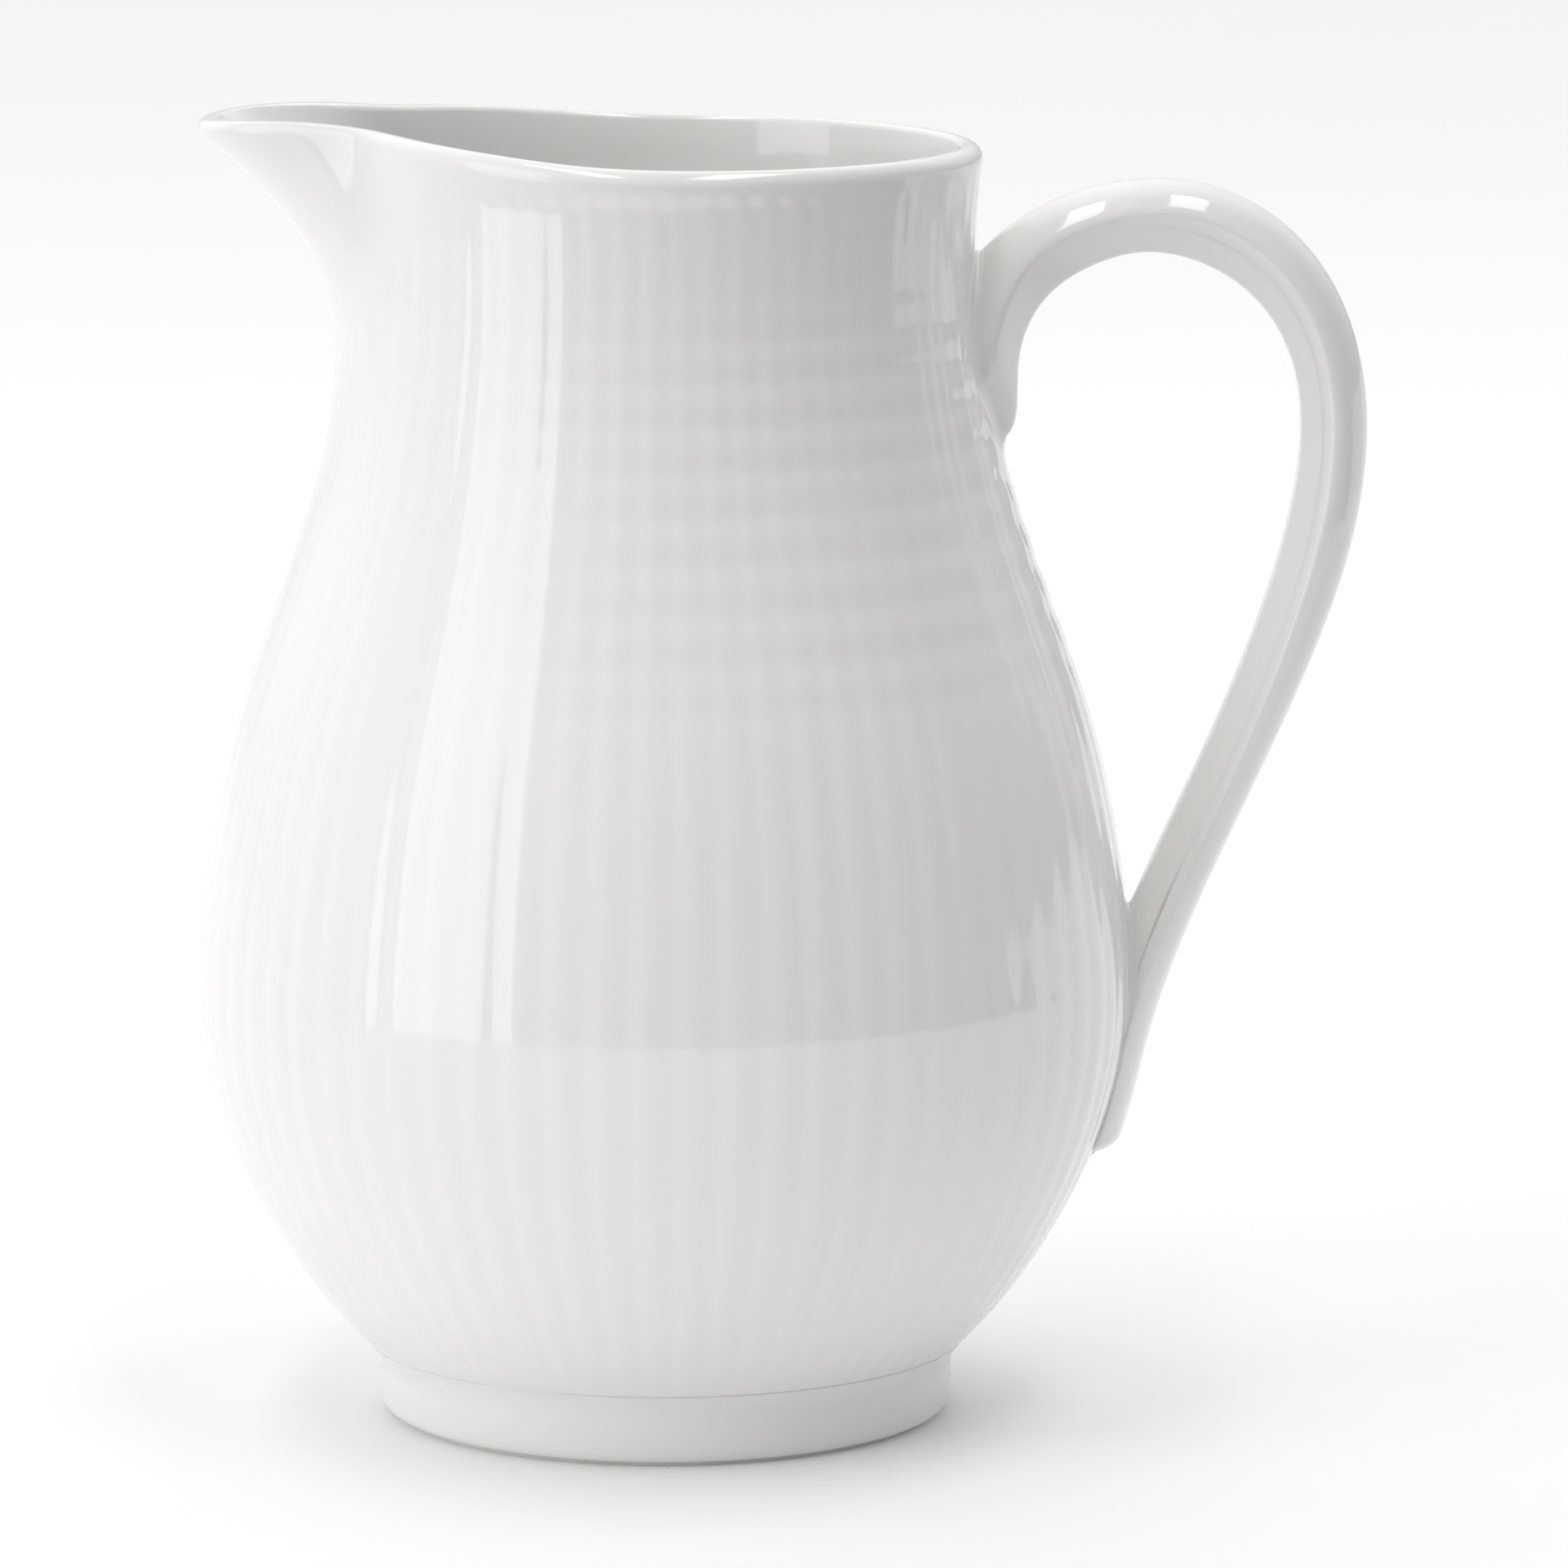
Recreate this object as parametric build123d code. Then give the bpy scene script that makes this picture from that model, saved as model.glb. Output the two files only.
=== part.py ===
from build123d import *
import math
import os

# A white porcelain pitcher, millimetres.
# +Z is up, the origin is the centre of the ring that the foot stands on,
# the handle points to +X and the spout to -X.

# Vessel wall
WALL = 3.4                      # wall thickness, measured square to the surface
FLOOR_UNDERSIDE = 5.0           # height of the recessed underside
FLOOR_TOP = 9.4                 # height of the inside floor
INSIDE_CORNER = 4.0             # rounding between the floor and the wall
LIP_RADIUS = 1.45               # half-round of the lip, outside and inside
TRIM_TOP = 187.0                # the wall is built this high, then trimmed to the rim line

# Foot
FOOT_RADIUS = 40.6
FOOT_HEIGHT = 8.4
FOOT_WALL = 5.4
FOOT_EDGE = 2.5                 # rounding of the foot's outer bottom edge
FOOT_INNER_EDGE = 1.0           # chamfer of the foot's inner bottom edge
BARE_RIM_HEIGHT = 0.5           # the unglazed ring that touches the table
BARE_RIM_INNER = 36.4
BARE_RIM_OUTER = 38.6

# Outline of the wall: (radius, height)
WALL_OUTLINE = [
    (40.3, 8.4),
    (48.5, 17.2),
    (54.9, 26.5),
    (61.2, 39.1),
    (65.6, 57.5),
    (64.4, 78.2),
    (60.1, 98.9),
    (53.8, 117.3),
    (47.8, 135.7),
    (44.4, 153.0),
    (43.6, 166.8),
    (44.8, 179.4),
    (46.2, 187.0),
]

# Spout: the wall is thrown outwards towards -X, more and more towards the rim
SPOUT_START = 124.0             # height where the throw begins
SPOUT_FULL = 183.0              # height where the throw is SPOUT_THROW
SPOUT_THROW = 21.6
SPOUT_GROWTH = 3.5              # power of the throw's growth with height
SPOUT_HALF_ANGLE = 18.5         # half angle of the spout at SPOUT_FULL, degrees
SPOUT_WIDENING = 0.30           # degrees of half angle gained per mm further down

# Rim line, seen from the side: (x, height)
RIM_LINE = [
    (-78.0, 181.4),
    (-66.0, 183.2),
    (-58.0, 184.0),
    (-48.0, 184.1),
    (-37.0, 183.1),
    (-23.0, 181.7),
    (-10.0, 180.5),
    (6.0, 180.0),
    (30.0, 179.9),
    (60.0, 179.9),
]

# Handle ribs, from the neck to the belly: (outer x, outer z, inner x, inner z, width, ridge),
# where ridge is the widest place's share of the depth from the inner edge
HANDLE_RIBS = [
    (35.0, 150.0, 44.0, 136.2, 20.0, 0.45),
    (39.5, 158.0, 49.0, 140.4, 21.0, 0.45),
    (44.0, 164.5, 49.7, 149.5, 19.5, 0.45),
    (50.0, 169.5, 53.2, 158.0, 16.5, 0.50),
    (59.2, 173.6, 62.0, 163.6, 14.4, 0.52),
    (70.3, 174.9, 69.6, 164.5, 14.0, 0.55),
    (82.0, 171.7, 78.0, 161.6, 14.0, 0.54),
    (92.0, 162.7, 84.9, 155.1, 14.0, 0.50),
    (97.8, 148.0, 88.6, 145.0, 13.8, 0.47),
    (98.0, 132.0, 88.4, 133.0, 13.6, 0.47),
    (92.6, 111.5, 83.5, 114.0, 13.6, 0.50),
    (83.0, 89.3, 74.6, 92.1, 14.0, 0.56),
    (74.5, 70.6, 66.6, 74.6, 15.6, 0.58),
    (68.7, 54.5, 60.8, 57.5, 17.8, 0.55),
    (66.0, 44.0, 58.3, 45.0, 18.2, 0.55),
    (63.3, 37.9, 55.5, 38.2, 16.0, 0.55),
]
# Half of a rib's outline with its ridge at half depth: a flat flank inside, a rounded back outside
# (share of the depth from the inner edge, share of half the width)
RIB_SIDE = [
    (0.0, 0.0),
    (0.025, 0.5),
    (0.11, 0.84),
    (0.3, 0.935),
    (0.5, 1.0),
    (0.68, 0.885),
    (0.85, 0.66),
    (0.965, 0.34),
    (1.0, 0.0),
]

# Luting slip between the handle and the wall
SLIP_THICKNESS = 0.5
SLIP_MARGIN = 0.8               # how far the slip stands out round the handle's end

# Level sections through which the wall is lofted, and the angles from +X of their points
SECTION_HEIGHTS = [15, 24, 36, 52, 70, 90, 110, 128, 144, 157, 167, 175, 181, 187]
SPOUT_ANGLES = [*range(120, 145, 8), *range(148, 213, 4), *range(216, 241, 8)]
SECTION_ANGLES = [*range(0, 120, 20), *SPOUT_ANGLES, *range(260, 360, 20)]

outline = Edge.make_spline([(r, 0, z) for r, z in WALL_OUTLINE])


def outline_radius(height):
    """Radius and slope (change of radius with height) of the wall outline at a height."""
    low = 0.0
    high = 1.0
    for _ in range(40):
        middle = (low + high) / 2
        if outline.position_at(middle).Z < height:
            low = middle
        else:
            high = middle
    tangent = outline.tangent_at(low)
    return outline.position_at(low).X, tangent.X / tangent.Z


def spout_bulge(height, degrees):
    """How far the spout throws the wall outwards at a height and an angle from -X."""
    if height <= SPOUT_START:
        return 0.0
    rise = (height - SPOUT_START) / (SPOUT_FULL - SPOUT_START)
    half_angle = SPOUT_HALF_ANGLE + SPOUT_WIDENING * (SPOUT_FULL - height)
    shape = math.exp(-((abs(degrees) / half_angle) ** (2 + rise)))
    return SPOUT_THROW * rise**SPOUT_GROWTH * shape


def wall_radius(height, degrees, inset):
    """Radius of the wall's surface, moved inwards by inset square to the surface."""
    radius, slope = outline_radius(height)
    bulge = spout_bulge(height, degrees)
    step = 0.2
    bulge_slope = (spout_bulge(height + step, degrees) - bulge) / step
    turn = spout_bulge(height, abs(degrees) + step) - bulge
    sideways = turn / math.radians(step) / (radius + bulge)
    return radius + bulge - inset * math.sqrt(1 + (slope + bulge_slope) ** 2 + sideways**2)


def wall_section(height, inset):
    """Closed level section of the wall's surface."""
    points = []
    for angle in SECTION_ANGLES:
        degrees = abs(angle - 180)
        radius = wall_radius(height, degrees, inset)
        x = radius * math.cos(math.radians(angle))
        y = radius * math.sin(math.radians(angle))
        points.append((x, y, height))
    parameters = [angle / 360 for angle in SECTION_ANGLES] + [1]
    edge = Edge.make_spline(points, periodic=True, parameters=parameters)
    return Face(Wire([edge]))


def wall_solid(inset, bottom):
    """Solid up to the trim height, bounded by the wall's surface moved inwards by inset."""
    heights = [bottom] + [h for h in SECTION_HEIGHTS if h > bottom + 2]
    return loft([wall_section(h, inset) for h in heights])


def above_rim():
    """Everything above the rim line."""
    line = Spline(*[(x, z) for x, z in RIM_LINE])
    x0, z0 = RIM_LINE[0]
    x1, z1 = RIM_LINE[-1]
    roof = TRIM_TOP + 10
    frame = Polyline((x1, z1), (x1, roof), (x0, roof), (x0, z0))
    face = make_face(Plane.XZ * (Curve() + [line, frame]))
    return extrude(face, amount=100, both=True)


def edges_near(solid, height, reach=0.1):
    """Edges of a solid whose centre lies at a height."""
    return [e for e in solid.edges() if abs(e.center().Z - height) < reach]


def make_body(outside):
    """The cast vessel: wall, floor, neck, lip and spout."""
    body = (outside - above_rim()) - wall_solid(WALL, FLOOR_TOP)
    lip = [e for e in body.edges() if e.center().Z > RIM_LINE[-1][1] - LIP_RADIUS and e.length > 50]
    body = fillet(lip, LIP_RADIUS)
    body = fillet(edges_near(body, FLOOR_TOP), INSIDE_CORNER)
    base = extrude(Circle(FOOT_RADIUS - FOOT_WALL), amount=FOOT_HEIGHT - FLOOR_UNDERSIDE)
    return body + Pos(0, 0, FLOOR_UNDERSIDE) * base


def make_foot_ring():
    """The foot: a ring with a rounded outer bottom edge, standing on the bare rim."""
    inner = FOOT_RADIUS - FOOT_WALL
    bottom = BARE_RIM_HEIGHT
    edge = FOOT_EDGE - bottom
    half = edge * math.sqrt(0.5)
    section = Polyline(
        (FOOT_RADIUS, bottom + edge),
        (FOOT_RADIUS, FOOT_HEIGHT),
        (inner, FOOT_HEIGHT),
        (inner, bottom + FOOT_INNER_EDGE),
        (inner + FOOT_INNER_EDGE, bottom),
        (FOOT_RADIUS - edge, bottom),
    )
    rounding = ThreePointArc(
        (FOOT_RADIUS - edge, bottom),
        (FOOT_RADIUS - edge + half, bottom + edge - half),
        (FOOT_RADIUS, bottom + edge),
    )
    return revolve(Plane.XZ * make_face(Curve() + [section, rounding]), Axis.Z)


def make_bare_rim():
    """The wiped, unglazed ring on which the foot stands."""
    ring = Circle(BARE_RIM_OUTER) - Circle(BARE_RIM_INNER)
    return extrude(ring, amount=BARE_RIM_HEIGHT)


def rib_depth(share, ridge):
    """Moves a share of the depth so that half depth comes to the ridge."""
    if share < 0.5:
        return share * ridge / 0.5
    return 1 - (1 - share) * (1 - ridge) / 0.5


def handle_rib(rib, margin):
    """Closed cross-section of the handle: a rounded back, a ridge, a flat inner flank."""
    outer_x, outer_z, inner_x, inner_z, width, ridge = rib
    inner = Vector(inner_x, 0, inner_z)
    outer = Vector(outer_x, 0, outer_z)
    along = (outer - inner).normalized()
    inner = inner - along * margin
    depth = (outer - inner).length + margin
    half = width / 2 + margin
    side = [(depth * rib_depth(u, ridge), half * w) for u, w in RIB_SIDE]
    loop = side + [(u, -w) for u, w in reversed(side[1:-1])]
    points = [inner + along * u + Vector(0, w, 0) for u, w in loop]
    parameters = [i / len(points) for i in range(len(points) + 1)]
    edge = Edge.make_spline(points, periodic=True, parameters=parameters)
    return Face(Wire([edge]))


def handle_solid(margin):
    """The handle with its ends running into the wall."""
    return loft([handle_rib(rib, margin) for rib in HANDLE_RIBS])


def make_handle(outside_of_slip):
    """The cast handle, trimmed to the slip on the wall."""
    return handle_solid(0) - outside_of_slip


def make_slip_joints(outside, outside_of_slip):
    """The two pads of luting slip, lower and upper."""
    pads = (handle_solid(SLIP_MARGIN) & outside_of_slip) - outside
    return pads.solids().sort_by(Axis.Z)


outside = wall_solid(0, FOOT_HEIGHT)
outside_of_slip = wall_solid(-SLIP_THICKNESS, FOOT_HEIGHT)
lower_joint, upper_joint = make_slip_joints(outside, outside_of_slip)

parts = {
    "body": make_body(outside),
    "foot_ring": make_foot_ring(),
    "unglazed_foot_rim": make_bare_rim(),
    "handle": make_handle(outside_of_slip),
    "upper_handle_joint": upper_joint,
    "lower_handle_joint": lower_joint,
}

os.makedirs("parts", exist_ok=True)
for name, solid in parts.items():
    export_step(solid, f"parts/{name}.step")
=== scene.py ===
import math

import bpy
import numpy as np
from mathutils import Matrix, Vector


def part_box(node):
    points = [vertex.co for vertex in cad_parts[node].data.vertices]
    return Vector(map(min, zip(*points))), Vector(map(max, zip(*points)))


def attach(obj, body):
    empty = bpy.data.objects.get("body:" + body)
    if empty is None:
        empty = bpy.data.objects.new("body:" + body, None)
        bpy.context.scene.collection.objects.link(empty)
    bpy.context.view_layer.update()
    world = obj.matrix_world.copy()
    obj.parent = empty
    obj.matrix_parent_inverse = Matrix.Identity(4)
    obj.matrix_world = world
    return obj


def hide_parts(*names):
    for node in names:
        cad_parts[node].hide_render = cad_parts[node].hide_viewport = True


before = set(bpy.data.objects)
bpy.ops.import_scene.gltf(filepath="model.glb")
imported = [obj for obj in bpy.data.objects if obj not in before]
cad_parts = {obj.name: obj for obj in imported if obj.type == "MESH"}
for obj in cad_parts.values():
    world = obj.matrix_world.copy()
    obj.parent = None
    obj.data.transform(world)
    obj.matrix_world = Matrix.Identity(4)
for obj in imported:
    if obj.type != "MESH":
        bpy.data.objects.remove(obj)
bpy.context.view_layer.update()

MM = 0.001

# ---------------------------------------------------------------- sizes, in millimetres

WALL = 3.4                      # wall thickness, square to the surface
FLOOR_TOP = 9.4                 # height of the inside floor
FLOOR_UNDERSIDE = 5.0           # height of the recessed underside
INSIDE_CORNER = 4.0             # rounding between the floor and the wall
LIP_OUTER = 2.0                 # rounding of the lip on the outside
LIP_SPOUT = 1.3                 # the same at the spout
LIP_INNER = 1.05                # and on the inside
LIP_TURN = (20, 70)             # degrees from the spout over which the outside's rounding grows

FOOT_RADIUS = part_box("foot_ring")[1].x / MM
FOOT_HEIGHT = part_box("foot_ring")[1].z / MM
FOOT_WALL = 5.4                 # thickness of the foot ring
FOOT_EDGE = 2.5                 # height at which the rounding of its outer edge ends
FOOT_CREASE = 2.2               # how far the hollow above the foot reaches up the belly
FOOT_CREASE_START = 2.5         # how far under the foot's top it begins
FOOT_CREASE_INSET = 0.3         # how far inside the foot's side its corner lies
UNDERSIDE_ROUNDING = 1.2        # between the recessed underside and the foot ring
BARE_RIM_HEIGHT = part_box("foot_ring")[0].z / MM
BARE_RIM_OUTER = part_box("unglazed_foot_rim")[1].x / MM
BARE_RIM_WIDTH = 2.2
BARE_RIM_EDGE = 0.18            # softened edge of the bare rim
BARE_RIM_OVERLAP = 0.15         # how far it reaches up into the foot ring

# Outline of the wall: (radius, height)
WALL_OUTLINE = [
    (40.3, 8.4),
    (48.5, 17.2),
    (54.9, 26.5),
    (61.2, 39.1),
    (65.6, 57.5),
    (64.4, 78.2),
    (60.1, 98.9),
    (53.8, 117.3),
    (47.8, 135.7),
    (44.4, 153.0),
    (43.6, 166.8),
    (44.8, 179.4),
    (46.2, 187.0),
]

# Spout: the wall is thrown outwards towards -X, more and more towards the rim
SPOUT_START = 124.0             # height at which the throw begins
SPOUT_FULL = 183.0              # height at which it reaches SPOUT_THROW
SPOUT_THROW = 21.6
SPOUT_GROWTH = 3.5              # power with which it grows from the start
SPOUT_HALF_ANGLE = 18.5         # degrees to either side at SPOUT_FULL
SPOUT_WIDENING = 0.30           # degrees more for each millimetre below it

# Rim line, seen from the side: (x, height)
RIM_LINE = [
    (-78.0, 181.4),
    (-66.0, 183.2),
    (-58.0, 184.0),
    (-48.0, 184.1),
    (-37.0, 183.1),
    (-23.0, 181.7),
    (-10.0, 180.5),
    (6.0, 180.0),
    (30.0, 179.9),
    (60.0, 179.9),
]

# Handle ribs, from the neck to the belly: (outer x, outer z, inner x, inner z, width, ridge),
# where ridge is the widest place's share of the depth from the inner edge
HANDLE_RIBS = [
    (35.0, 150.0, 44.0, 136.2, 20.0, 0.45),
    (39.5, 158.0, 49.0, 140.4, 21.0, 0.45),
    (44.0, 164.5, 49.7, 149.5, 19.5, 0.45),
    (50.0, 169.5, 53.2, 158.0, 16.5, 0.50),
    (59.2, 173.6, 62.0, 163.6, 14.4, 0.52),
    (70.3, 174.9, 69.6, 164.5, 14.0, 0.55),
    (82.0, 171.7, 78.0, 161.6, 14.0, 0.54),
    (92.0, 162.7, 84.9, 155.1, 14.0, 0.50),
    (97.8, 148.0, 88.6, 145.0, 13.8, 0.47),
    (98.0, 132.0, 88.4, 133.0, 13.6, 0.47),
    (92.6, 111.5, 83.5, 114.0, 13.6, 0.50),
    (83.0, 89.3, 74.6, 92.1, 14.0, 0.56),
    (74.5, 70.6, 66.6, 74.6, 15.6, 0.58),
    (68.7, 54.5, 60.8, 57.5, 17.8, 0.55),
    (66.0, 44.0, 58.3, 45.0, 18.2, 0.55),
    (64.1, 37.8, 56.0, 38.0, 17.2, 0.55),
]
# A rib's outline has a flat inner edge, a flat flank on each side, a ridge and an oval back
RIB_INNER_CORNER = (0.02, 0.42) # share of the depth from the inner edge, share of half the width
RIB_BACK_POWER = 1.25           # 1 makes the back an oval, more makes its two sides flatter
RIB_PROPORTIONS = (9.8, 7.0)    # depth and half width that the rounding is measured on
RIB_ROUNDING = 0.5              # how far the rounding of the corner and the ridge reaches
TAIL_ROUNDING = 1.9             # rounding of the handle's blunt lower end

# Relief of the wall
REEDS = 68                      # upright reeds round the wall
REED_TURN = 0.25                # distance of a crest from the handle's plane, in reeds
REED_DEPTHS = [                 # (height, depth from a reed's crest to the groove beside it)
    (10.0, 0.085),
    (32.0, 0.115),
    (52.0, 0.165),
    (72.0, 0.145),
    (90.0, 0.130),
    (107.0, 0.100),
    (124.0, 0.075),
    (177.0, 0.065),
]
REED_TOP = 176.6                # where the reeds end under the lip
REED_TOP_FADE = (2.4, 0.4)      # from how far under it to how far over it they die out
REED_FOOT_FADE = (0.5, 6.0)     # heights above the foot between which they come in
ROW_ASPECT = 1.42               # height of a bead over the width of its reed
ROW_DEPTH = 0.15                # depth of the notch between two beads
ROW_TURN = 0.38                 # place of the first notch, in rows under REED_TOP
ROWS_END = 103.0                # below this height the reeds run smooth
ROWS_FADE = 8.0                 # height over which the rows die out
ROWS_THIN = 156.0               # above this height the rows get fainter
ROWS_THINNING = 0.8             # share that they have lost just under REED_TOP
ROWS_TURN_START = 35.0          # degrees from the spout at which the rows begin
ROWS_TURN_FULL = 85.0           # and at which they are at their full depth
SMOOTH_START = 140.0            # the plain area round the spout begins at this height
SMOOTH_ANGLE = 50.0             # half angle of the plain area at REED_TOP, degrees
SMOOTH_GROWTH = 1.3             # power with which that angle grows upwards
SMOOTH_FADE = (3.0, 6.0)        # degrees inside and outside its edge over which the reeds fade
GROOVE_POWER = 0.8              # below 1 the grooves are narrower than the crests
NOTCH_POWER = 1.3               # above 1 the notches are narrower than the beads
UNEVENNESS = [                  # (share, waves round the wall, turn for each mm up, start)
    (0.10, 3, 0.05, 0.0),
    (0.07, 7, -0.11, 1.3),
]

# Mesh density
COLUMNS_PER_REED = 8
COARSE = 4                      # fine columns for each coarse one, inside and underneath

COLUMNS = REEDS * COLUMNS_PER_REED


# ---------------------------------------------------------------- curves

def natural_spline(knots, values, at):
    """Natural cubic spline through (knots, values), evaluated at an array of places."""
    knots = np.asarray(knots, float)
    values = np.asarray(values, float)
    n = len(knots)
    gap = np.diff(knots)
    rise = np.diff(values) / gap
    matrix = np.eye(n)
    right = np.zeros(n)
    for i in range(1, n - 1):
        matrix[i, i - 1 : i + 2] = gap[i - 1], 2 * (gap[i - 1] + gap[i]), gap[i]
        right[i] = 6 * (rise[i] - rise[i - 1])
    bend = np.linalg.solve(matrix, right)
    at = np.asarray(at, float)
    k = np.clip(np.searchsorted(knots, at) - 1, 0, n - 2)
    a = (knots[k + 1] - at) / gap[k]
    b = (at - knots[k]) / gap[k]
    cubic = ((a**3 - a) * bend[k] + (b**3 - b) * bend[k + 1]) * gap[k] ** 2 / 6
    return a * values[k] + b * values[k + 1] + cubic


def smoothstep(low, high, value):
    t = np.clip((value - low) / (high - low), 0, 1)
    return t * t * (3 - 2 * t)


def chord_lengths(points):
    steps = np.linalg.norm(np.diff(np.asarray(points, float), axis=0), axis=1)
    return np.concatenate([[0], np.cumsum(steps)])


# ---------------------------------------------------------------- wall surface

outline_places = chord_lengths(WALL_OUTLINE)
fine_places = np.linspace(0, outline_places[-1], 4000)
outline_r = natural_spline(outline_places, [p[0] for p in WALL_OUTLINE], fine_places)
outline_z = natural_spline(outline_places, [p[1] for p in WALL_OUTLINE], fine_places)
outline_slope = np.gradient(outline_r, outline_z)


def outline_radius(z):
    return np.interp(z, outline_z, outline_r)


def spout_bulge(z, degrees):
    rise = np.clip((z - SPOUT_START) / (SPOUT_FULL - SPOUT_START), 0, None)
    half_angle = SPOUT_HALF_ANGLE + SPOUT_WIDENING * (SPOUT_FULL - z)
    shape = np.exp(-((np.abs(degrees) / half_angle) ** (2 + rise)))
    return SPOUT_THROW * rise**SPOUT_GROWTH * shape


def from_spout(theta):
    """Angle from the spout's middle, in degrees."""
    return np.degrees(np.abs((theta % (2 * math.pi)) - math.pi))


def wall_radius(z, theta, inset=0.0):
    """Radius of the wall's surface, moved inwards by inset square to the surface."""
    degrees = from_spout(theta)
    step = 0.2
    bulge = spout_bulge(z, degrees)
    slope = np.interp(z, outline_z, outline_slope) + (spout_bulge(z + step, degrees) - bulge) / step
    radius = outline_radius(z) + bulge
    sideways = (spout_bulge(z, degrees + step) - bulge) / math.radians(step) / radius
    return radius - inset * np.sqrt(1 + slope**2 + sideways**2)


def rim_height(x):
    return natural_spline([p[0] for p in RIM_LINE], [p[1] for p in RIM_LINE], x)


def rim_corner(theta, inset):
    """Radius and height where the wall's surface meets the rim line."""
    z = np.full_like(theta, RIM_LINE[-1][1])
    for _ in range(30):
        z = rim_height(wall_radius(z, theta, inset) * np.cos(theta))
    return wall_radius(z, theta, inset), z


# ---------------------------------------------------------------- relief

reed_pitch = 2 * math.pi * outline_r / REEDS
row_steps = np.diff(fine_places) / (ROW_ASPECT * (reed_pitch[1:] + reed_pitch[:-1]) / 2)
row_count = np.concatenate([[0], np.cumsum(row_steps)])
row_count -= np.interp(REED_TOP, outline_z, row_count)


def relief(theta, z):
    """Depth of the surface under its smooth form, and how far into a groove it is, 0 to 1."""
    across = theta / (2 * math.pi) * REEDS + REED_TURN
    groove = 1 - (0.5 + 0.5 * np.cos(2 * math.pi * across)) ** GROOVE_POWER
    rows = np.interp(z, outline_z, row_count) + ROW_TURN
    notch = (0.5 + 0.5 * np.cos(2 * math.pi * rows)) ** NOTCH_POWER
    rowed = smoothstep(ROWS_END, ROWS_END + ROWS_FADE, z)
    rowed = rowed * (1 - ROWS_THINNING * smoothstep(ROWS_THIN, REED_TOP - 4, z))
    rowed = rowed * smoothstep(ROWS_TURN_START, ROWS_TURN_FULL, from_spout(theta))
    top = 1 - smoothstep(REED_TOP - REED_TOP_FADE[0], REED_TOP + REED_TOP_FADE[1], z)
    foot = smoothstep(FOOT_HEIGHT + REED_FOOT_FADE[0], FOOT_HEIGHT + REED_FOOT_FADE[1], z)
    share = np.clip((z - SMOOTH_START) / (REED_TOP - SMOOTH_START), 0, 1.2)
    edge = SMOOTH_ANGLE * share**SMOOTH_GROWTH
    away = from_spout(theta) + SMOOTH_FADE[0] * (share <= 0)
    plain = smoothstep(edge - SMOOTH_FADE[0], edge + SMOOTH_FADE[1], away)
    drift = 1
    for amount, waves, climb, start in UNEVENNESS:
        drift = drift + amount * np.sin(waves * theta + climb * z + start)
    reach = top * foot * plain * drift
    depth = np.interp(z, [row[0] for row in REED_DEPTHS], [row[1] for row in REED_DEPTHS])
    notch = notch * rowed
    return reach * (depth * groove + ROW_DEPTH * notch), reach * np.maximum(groove, notch)


# ---------------------------------------------------------------- meshes

class Surface:
    """A closed mesh made ring by ring, each ring counter-clockwise seen from above."""

    def __init__(self):
        self.points = []
        self.faces = []
        self.values = []
        self.count = 0
        self.last = None

    def ring(self, points, values=None):
        points = np.atleast_2d(np.asarray(points, float))
        index = np.arange(self.count, self.count + len(points))
        self.points.append(points)
        self.values.append(np.zeros(len(points)) if values is None else values)
        self.count += len(points)
        if self.last is not None:
            self.join(self.last, index)
        self.last = index

    def join(self, a, b):
        """Faces between two rings of equal size, or of which one is coarser or a point."""
        if len(a) == len(b):
            a2, b2 = np.roll(a, -1), np.roll(b, -1)
            self.faces += list(zip(a, a2, b2, b))
        elif len(a) == 1:
            self.faces += [(a[0], q, p) for p, q in zip(b, np.roll(b, -1))]
        elif len(b) == 1:
            self.faces += [(p, q, b[0]) for p, q in zip(a, np.roll(a, -1))]
        elif len(a) > len(b):
            self.fans(a, b, False)
        else:
            self.fans(b, a, True)

    def fans(self, fine, coarse, flip):
        ratio = len(fine) // len(coarse)
        half = ratio // 2
        made = []
        for k in range(len(coarse)):
            c, d = coarse[k], coarse[(k + 1) % len(coarse)]
            run = [fine[(k * ratio + i) % len(fine)] for i in range(ratio + 1)]
            made += [(run[i], run[i + 1], c) for i in range(half)]
            made.append((run[half], d, c))
            made += [(run[i], run[i + 1], d) for i in range(half, ratio)]
        self.faces += [f[::-1] for f in made] if flip else made

    def object(self, name):
        points = np.concatenate(self.points)
        return mesh_object(name, points, self.faces, np.concatenate(self.values))


def mesh_object(name, points, faces, groove):
    """A smooth-shaded object from points in millimetres, with its grooves as an attribute."""
    mesh = bpy.data.meshes.new(name)
    mesh.from_pydata([tuple(p) for p in points * MM], [], [tuple(int(i) for i in f) for f in faces])
    attribute = mesh.attributes.new("groove", "FLOAT", "POINT")
    attribute.data.foreach_set("value", np.asarray(groove, np.float32))
    mesh.polygons.foreach_set("use_smooth", [True] * len(mesh.polygons))
    mesh.validate()
    mesh.update()
    piece = bpy.data.objects.new(name, mesh)
    bpy.context.scene.collection.objects.link(piece)
    return piece


def circle_points(radius, z, theta):
    return np.stack([radius * np.cos(theta), radius * np.sin(theta), z + 0 * theta], axis=1)


def arc_between(start, corner, end, steps):
    """Circular arc from start to end, tangent to both lines to the corner, without its ends."""
    a = start - corner
    b = end - corner
    cos_turn = np.sum(a * b, axis=1) / (np.linalg.norm(a, axis=1) * np.linalg.norm(b, axis=1))
    weight = np.sqrt((1 - cos_turn) / 2)[:, None]
    points = []
    for t in np.linspace(0, 1, steps + 1)[1:-1]:
        wa, wc, wb = (1 - t) ** 2, 2 * t * (1 - t) * weight, t**2
        points.append((wa * start + wc * corner + wb * end) / (wa + wc + wb))
    return points


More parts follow.
